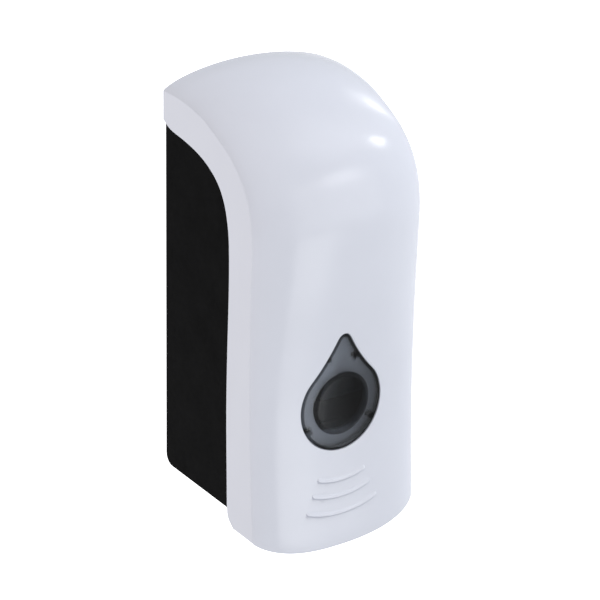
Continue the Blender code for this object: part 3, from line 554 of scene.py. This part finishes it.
def rib(radius, half, wide=1.3, high=0.95):
    """A raised smile-shaped ledge: it ramps up from its upper side and drops in a step at its lower side."""
    span = math.asin(half / radius)
    n, rings = 72, []
    run = radius * span
    prof = [(-1.0, -0.5), (-1.0, 0.0), (-0.6, 0.22), (-0.2, 0.50), (0.2, 0.78), (0.5, 0.95), (0.72, 1.0), (0.88, 0.86), (0.96, 0.55), (1.0, 0.0), (1.0, -0.5)]
    for i in range(n + 1):
        t = -span + 2 * span * i / n
        d = min(1.0, (run - abs(t) * radius) / 1.6 + 0.02)     # rounded over the last 1.6 mm
        f = math.sqrt(max(0.0, 1 - (1 - d) ** 2))
        ring = []
        for a, up in prof:
            q = radius + a * wide * (0.25 + 0.75 * f)
            x, h = q * math.sin(t), DISC_H - q * math.cos(t)
            ring.append((x, front_y(x, h) - (up * high * f if up > 0 else up), h))
        rings.append(ring)
    return loft("rib", rings)


def rib_groove(radius, half, wide=0.95, deep=0.42):
    """A shallow groove right under a ledge, deepest against the step and running out downwards."""
    span = math.asin(half / radius)
    n, rings = 72, []
    run = radius * span
    prof = [(0.0, -0.6), (0.0, 0.75), (0.12, 0.96), (0.3, 1.0), (0.55, 0.72), (0.8, 0.30), (1.0, 0.0), (1.12, -0.6)]
    for i in range(n + 1):
        t = -span + 2 * span * i / n
        d = min(1.0, (run - abs(t) * radius) / 1.8 + 0.02)
        f = math.sqrt(max(0.0, 1 - (1 - d) ** 2))
        ring = []
        for a, down in prof:
            q = radius + 1.3 * (0.25 + 0.75 * f) * 0.99 + a * wide * (0.3 + 0.7 * f)
            x, h = q * math.sin(t), DISC_H - q * math.cos(t)
            ring.append((x, front_y(x, h) + (down * deep * f if down > 0 else down), h))
        rings.append(ring)
    return loft("rib_groove", rings)


RIBS = ((49.4, 17.4), (59.8, 21.5), (71.0, 26.0))
boolean(cover, [rib(r, half) for r, half in RIBS], "UNION")
boolean(cover, [rib_groove(r, half) for r, half in RIBS], "DIFFERENCE")
cover.data.set_sharp_from_angle(angle=math.radians(34))
dress(cover, WHITE, "cover", "front_cover")

# ------------------------------------------------------------- level window
out = np.array(drop(-0.35))
cen = np.array([0.0, DISC_H])
vec = out - cen
dist = np.linalg.norm(vec, axis=1)
unit = vec / dist[:, None]
RAISE, R1, R0 = 1.3, 20.0, 18.1
bm = bmesh.new()
painted_shade_layer = bm.verts.layers.float.new("painted_shade")
# spots of painted shade where the clip slots behind the window show through
clip_shade_spots = [(np.array([x * 1.04, h]), 2.7) for x, h in CLIPS]


def painted_shade_at(x, h, edge):
    # painted reflection and shade: the window is lighter on the left, where it reflects the bright surroundings, and
    # darker towards the right
    side = float(np.clip((x + 24.0) / 48.0, 0, 1))
    v = 0.05 + 0.45 * side ** 1.3
    v = max(v, (0.82 + 0.16 * side) * (1.0 - float(np.clip((edge - 1.5) / 0.6, 0, 1))))           # painted shade of the gap round the rim
    # painted shade of the clip slots seen through the window, weakest for the upper left one
    for k, (c, rad) in enumerate(clip_shade_spots):
        d = math.hypot((x - c[0]) / 1.15, h - c[1])
        v = max(v, (0.30, 0.99, 0.80, 1.0)[k] * float(np.clip((rad - d) / 0.7, 0, 1)))
    # painted shade of the dark hole behind the disc and of the darker band at its border, both lighter on the left
    # where more light is reflected
    r = math.hypot(x, h - DISC_H)
    if r < R1 + 0.3:
        v = max(v, min(0.985, 0.47 + 0.76 * side) if r < R0 - 0.1 else 0.80 + 0.18 * side)
    return float(v)


def window_vert(x, h, y, edge):
    v = bm.verts.new(V(x, y, h))
    v[painted_shade_layer] = painted_shade_at(x, h, edge)
    return v


rings = []
for r in (0.8, 4, 8, 12, 15, 17.2, R0):
    rings.append([window_vert(u[0] * r, DISC_H + u[1] * r,
                              front_y(0, DISC_H) - RAISE - 0.25 * (1 - (r / R0) ** 2) + 0.05 + 0.12, 9) for u in unit])
for a in np.linspace(0, 90, 7)[1:]:
    r = R0 + (R1 - R0) * math.sin(math.radians(a))
    fall = RAISE * (1 - math.cos(math.radians(a)))
    rings.append([window_vert(u[0] * r, DISC_H + u[1] * r,
                              (front_y(0, DISC_H) - RAISE + 0.17) * (1 - math.sin(math.radians(a)) ** 4) + (front_y(u[0] * r, DISC_H + u[1] * r) + 0.17) * math.sin(math.radians(a)) ** 4
                              + (fall * (1 - math.sin(math.radians(a)) ** 4)), 9) for u in unit])
for s in (0.06, 0.2, 0.4, 0.6, 0.8, 1.0):
    ring = []
    for u, d in zip(unit, dist):
        r = R1 + s * (d - 2.35 - R1)
        x, h = u[0] * r, DISC_H + u[1] * r
        ring.append(window_vert(x, h, front_y(x, h) + 0.30, d - r))
    rings.append(ring)
for inset, off in ((2.05, 0.30), (1.9, 0.16), (1.6, 0.10), (1.2, 0.10), (0.75, 0.13), (0.38, 0.25), (0.12, 0.48), (0.0, 0.85)):
    pts = out - unit * 0
    ring = []
    nrm = np.roll(out, -1, 0) - np.roll(out, 1, 0)
    nrm = np.stack([nrm[:, 1], -nrm[:, 0]], 1)
    nrm /= np.linalg.norm(nrm, axis=1)[:, None]
    nrm *= np.sign(np.sum(nrm * unit, axis=1))[:, None]
    for p, m in zip(out, nrm):
        q = p - m * inset
        ring.append(window_vert(q[0], q[1], front_y(q[0], q[1]) + off, inset))
    rings.append(ring)
n = len(out)
mid = window_vert(0, DISC_H, front_y(0, DISC_H) - RAISE - 0.25 + 0.17, 9)
for i in range(n):
    bm.faces.new((mid, rings[0][i], rings[0][(i + 1) % n]))
rear = [window_vert(x, h, plane(h) + 2.7, 0.0) for x, h in out]
rings.append(rear)
for r in (0.92, 0.75):
    rings.append([window_vert(x * r, DISC_H + (h - DISC_H) * r, plane(DISC_H + (h - DISC_H) * r) + 2.7, 9 if r < 0.9 else 1.9) for x, h in out])
for a, c in zip(rings, rings[1:]):
    for i in range(n):
        bm.faces.new((a[i], c[i], c[(i + 1) % n], a[(i + 1) % n]))
mid = window_vert(0, DISC_H, plane(DISC_H) + 2.7, 9)
for i in range(n):
    bm.faces.new((mid, rings[-1][(i + 1) % n], rings[-1][i]))
window = new_object("window_lens", bm, 40)
dress(window, SMOKE_AND_SHADE, "cover", "level_window")
for k, (x, h) in enumerate(CLIPS):
    y, s = plane(h), (1 if h > 80 else -1)
    prof = [(y + 2.8, h - 0.9), (y + 2.8, h + 0.9), (y + 5.1, h + 0.9), (y + 5.2, h + 2.2 * s if s > 0 else h + 0.9), (y + 7.3, h + 0.9), (y + 7.3, h - 0.9)]
    if s > 0:
        prof = [(y + 2.8, h - 0.9), (y + 2.8, h + 0.9), (y + 5.2, h + 0.9), (y + 5.3, h + 2.2), (y + 7.3, h + 0.8), (y + 7.3, h - 0.9)]
    else:
        prof = [(y + 2.8, h + 0.9), (y + 2.8, h - 0.9), (y + 5.2, h - 0.9), (y + 5.3, h - 2.2), (y + 7.3, h - 0.8), (y + 7.3, h + 0.9)]
    clip = loft("window_clip_%d" % (k + 1), [[(xx, a, c) for a, c in prof] for xx in (x - 1.6, x + 1.6)])
    dress(clip, NOZZ, "cover", None)


# --------------------------------------- CAD shapes with rounded edges kept
def refine(node, mat, width=0.4, segments=2, angle=32.0, name=None):
    """A copy of a CAD node's shape, welded, its corners rounded; it stands for the node."""
    src = NODES[node]
    bm = bmesh.new()
    bm.from_mesh(src.data)
    bmesh.ops.remove_doubles(bm, verts=bm.verts, dist=2e-6)
    bmesh.ops.dissolve_limit(bm, angle_limit=math.radians(0.6), verts=bm.verts, edges=bm.edges)
    ob = new_object(name or node + "_fine", bm, angle)
    m = ob.modifiers.new("round", "BEVEL")
    m.width, m.segments, m.limit_method, m.angle_limit = width * MM, segments, "ANGLE", math.radians(angle)
    m.use_clamp_overlap = True
    m.harden_normals = True
    bpy.context.view_layer.update()
    me = bpy.data.meshes.new_from_object(ob.evaluated_get(bpy.context.evaluated_depsgraph_get()))
    ob.modifiers.remove(m)
    ob.data = me
    return dress(ob, mat, src["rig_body"], node)


def keep(node, mat):
    """The CAD node itself with a better material."""
    ob = NODES[node]
    ob.data.materials.clear()
    ob.data.materials.append(mat)
    return ob


refine("rear_housing", BLACK, 0.55, 3, 40)
refine("push_frame", GREY, 0.4, 2, 40)
refine("tank_shelf", PUMPM, 0.35, 2, 40)
refine("pump_cylinder", PUMPM, 0.3, 2, 40)
refine("soap_tank", TANK, 0.4, 2, 40)
refine("lock_keeper", STEEL, 0.25, 2, 40)
refine("lock_cam", STEEL, 0.25, 2, 40)
refine("nozzle", NOZZ, 0.25, 2, 40)
for node in ("pivot_pin_left", "pivot_pin_right", "cover_pin_left", "cover_pin_right",
             "shelf_screw_left", "shelf_screw_right", "pump_screw_left", "pump_screw_right", "lock_clip"):
    keep(node, STEEL)
for node in ("outlet_o_ring", "cap_gasket", "piston_seal", "inlet_seat", "drip_valve"):
    keep(node, RUBBER)
keep("inlet_ball", BALL)
# the return spring, wound finely between the end cap and the pad; it is attached to the piston body
PUMP_H = 32.0
COIL_Y0, COIL_Y1, COIL_R, WIRE, TURNS = -48.2, -66.3, 5.6, 0.6, 5.0
coil_rings = []
for i in range(int(TURNS * 40) + 1):
    f = i / (TURNS * 40)
    y = COIL_Y0 + (COIL_Y1 - COIL_Y0) * min(max((f - 0.06) / 0.88, 0), 1)
    a = 2 * math.pi * TURNS * f
    coil_rings.append([((COIL_R + WIRE * math.cos(t)) * math.cos(a), y + WIRE * math.sin(t), PUMP_H + (COIL_R + WIRE * math.cos(t)) * math.sin(a))
                       for t in np.linspace(0, 2 * math.pi, 13)[:-1]])
coil = loft("return_coil", coil_rings)
dress(coil, SPRING, "piston", "return_spring")
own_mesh(coil)
keep("piston_rod", GREY)
keep("push_pad", GREY)
keep("pump_end_cap", PUMPM)
keep("tank_outlet", PUMPM)

# tank cap with grip ribs, and the lock barrel with its keyway
cap_prof = soften_open([(0, 223.6), (19.6, 223.6), (21.4, 221.8), (21.4, 213.4), (19.3, 213.4), (19.3, 221.7), (0, 221.7)], 0.8, 4)


def grip(t, r, s):
    return r - (0.45 * (0.5 + 0.5 * math.cos(t * 36)) if r > 20.6 and s < 221.6 else 0.0)


cap = lathe("cap_ribbed", cap_prof, (0, -46.0, 0), "z", 288, wave=grip)
dress(cap, CAPM, "cap", "tank_cap")
barrel = lathe("lock_face", soften_open([(0, 49.0), (5.1, 49.0), (5.1, 59.9), (3.9, 59.9), (3.9, 59.6), (0, 59.6)], 0.3, 3), (0, *LOCK), "x", 72)
boolean(barrel, [cuboid("keyway", 55.5, 61.0, LOCK[0] - 0.7, LOCK[0] + 0.7, LOCK[1] - 3.0, LOCK[1] + 3.0)], "DIFFERENCE")
dress(barrel, NICKEL, "lock", "lock_barrel")

# ----------------------------------------------------------- stage and light
bpy.ops.mesh.primitive_plane_add(size=14.0, location=(0, 0, -1.5))
floor = bpy.context.object
floor.name = "floor"
m, nt, b, co = tree("floor_pale")
nt.links.new(colours(nt, noise(nt, co, 0.7, 2.0), (0.90, 0.90, 0.91), (0.93, 0.93, 0.935)), b.inputs["Base Color"])
b.inputs["Roughness"].default_value = 0.9
b.inputs["Emission Color"].default_value = (1, 1, 1, 1)
b.inputs["Emission Strength"].default_value = 1.0
floor.data.materials.append(m)

WORLD_LOW, WORLD_HIGH = 1.04, 0.52
world = bpy.data.worlds.new("studio")
bpy.context.scene.world = world
world.use_nodes = True
wt = world.node_tree
bg = wt.nodes["Background"]
bg.inputs[0].default_value = (0.975, 0.985, 1.0, 1)
sky = wt.nodes.new("ShaderNodeTexCoord")
axes = wt.nodes.new("ShaderNodeSeparateXYZ")
wt.links.new(sky.outputs["Generated"], axes.inputs[0])
lift = wt.nodes.new("ShaderNodeMapRange")
lift.interpolation_type = "SMOOTHSTEP"
lift.inputs["From Min"].default_value = -0.45
lift.inputs["From Max"].default_value = 0.25
lift.inputs["To Min"].default_value = WORLD_LOW
lift.inputs["To Max"].default_value = WORLD_HIGH
wt.links.new(axes.outputs["Z"], lift.inputs["Value"])
wt.links.new(lift.outputs[0], bg.inputs[1])
floor.visible_diffuse = floor.visible_glossy = floor.visible_transmission = False


def softbox(name, direction, distance, size, size_y, power, target=(0.0, -0.06, 0.02), colour=(1, 1, 1), gloss=True):
    d = Vector(direction).normalized()
    light = bpy.data.lights.new(name, "AREA")
    light.shape, light.size, light.size_y, light.energy, light.color = "RECTANGLE", size, size_y, power, colour
    ob = bpy.data.objects.new(name, light)
    bpy.context.scene.collection.objects.link(ob)
    ob.location = Vector(target) + d * distance
    ob.rotation_euler = (-d).to_track_quat("-Z", "Y").to_euler()
    ob.visible_glossy = gloss
    return ob


def at_angles(name, az, el, distance, size, size_y, power, colour=(1, 1, 1), target=(0.0, -0.06, 0.02), gloss=False):
    """A softbox seen from the object at azimuth az (0 is straight in front, 90 is to the right) and elevation el."""
    a, e = math.radians(az), math.radians(el)
    return softbox(name, (math.sin(a) * math.cos(e), -math.cos(a) * math.cos(e), math.sin(e)), distance, size, size_y, power, target, colour, gloss)


at_angles("left", -90, 15, 2.2, 1.2, 1.2, 18.8, (1.0, 0.91, 0.86))
at_angles("front", 26, 10, 2.2, 1.6, 1.6, 8.1, gloss=True)
at_angles("right_top", 60, 55, 2.2, 1.2, 1.2, 23.0)
at_angles("right_side", 95, 30, 2.2, 1.2, 1.2, 12.0, (0.86, 0.92, 1.0))
at_angles("glow_high", 34.7, 23.5, 2.2, 0.55, 0.40, 1.6, target=(-0.004, -0.104, 0.089), gloss=True)
at_angles("glow_low", 21.7, -23.2, 2.2, 0.85, 0.60, 3.2, target=(-0.027, -0.110, 0.048), gloss=True)
softbox("streak", (0.838, 0.352, 0.398), 1.5, 0.09, 0.26, 0.30, (0.042, -0.068, 0.117))
softbox("streak_halo", (0.832, 0.362, 0.395), 1.5, 0.17, 0.70, 0.50, (0.042, -0.068, 0.117))
softbox("spot", (0.813, -0.212, 0.542), 1.5, 0.085, 0.22, 1.25, (0.031, -0.092, 0.102))

# -------------------------------------------------------------------- camera
cam = bpy.data.cameras.new("camera")
cam.lens, cam.sensor_width = 132.915, 36.0
eye = bpy.data.objects.new("camera", cam)
bpy.context.scene.collection.objects.link(eye)
right = Vector((0.82297561, -0.567631, 0.02249869))
up = Vector((0.20920883, 0.33966555, 0.91698363))
back = Vector((-0.52815037, -0.74994824, 0.39828988))
turn = Matrix((right, up, back)).transposed().to_4x4()
eye.matrix_world = Matrix.Translation((-0.70757, -1.06553, 0.52968)) @ turn
bpy.context.scene.camera = eye
bpy.context.scene.view_settings.view_transform = "Standard"
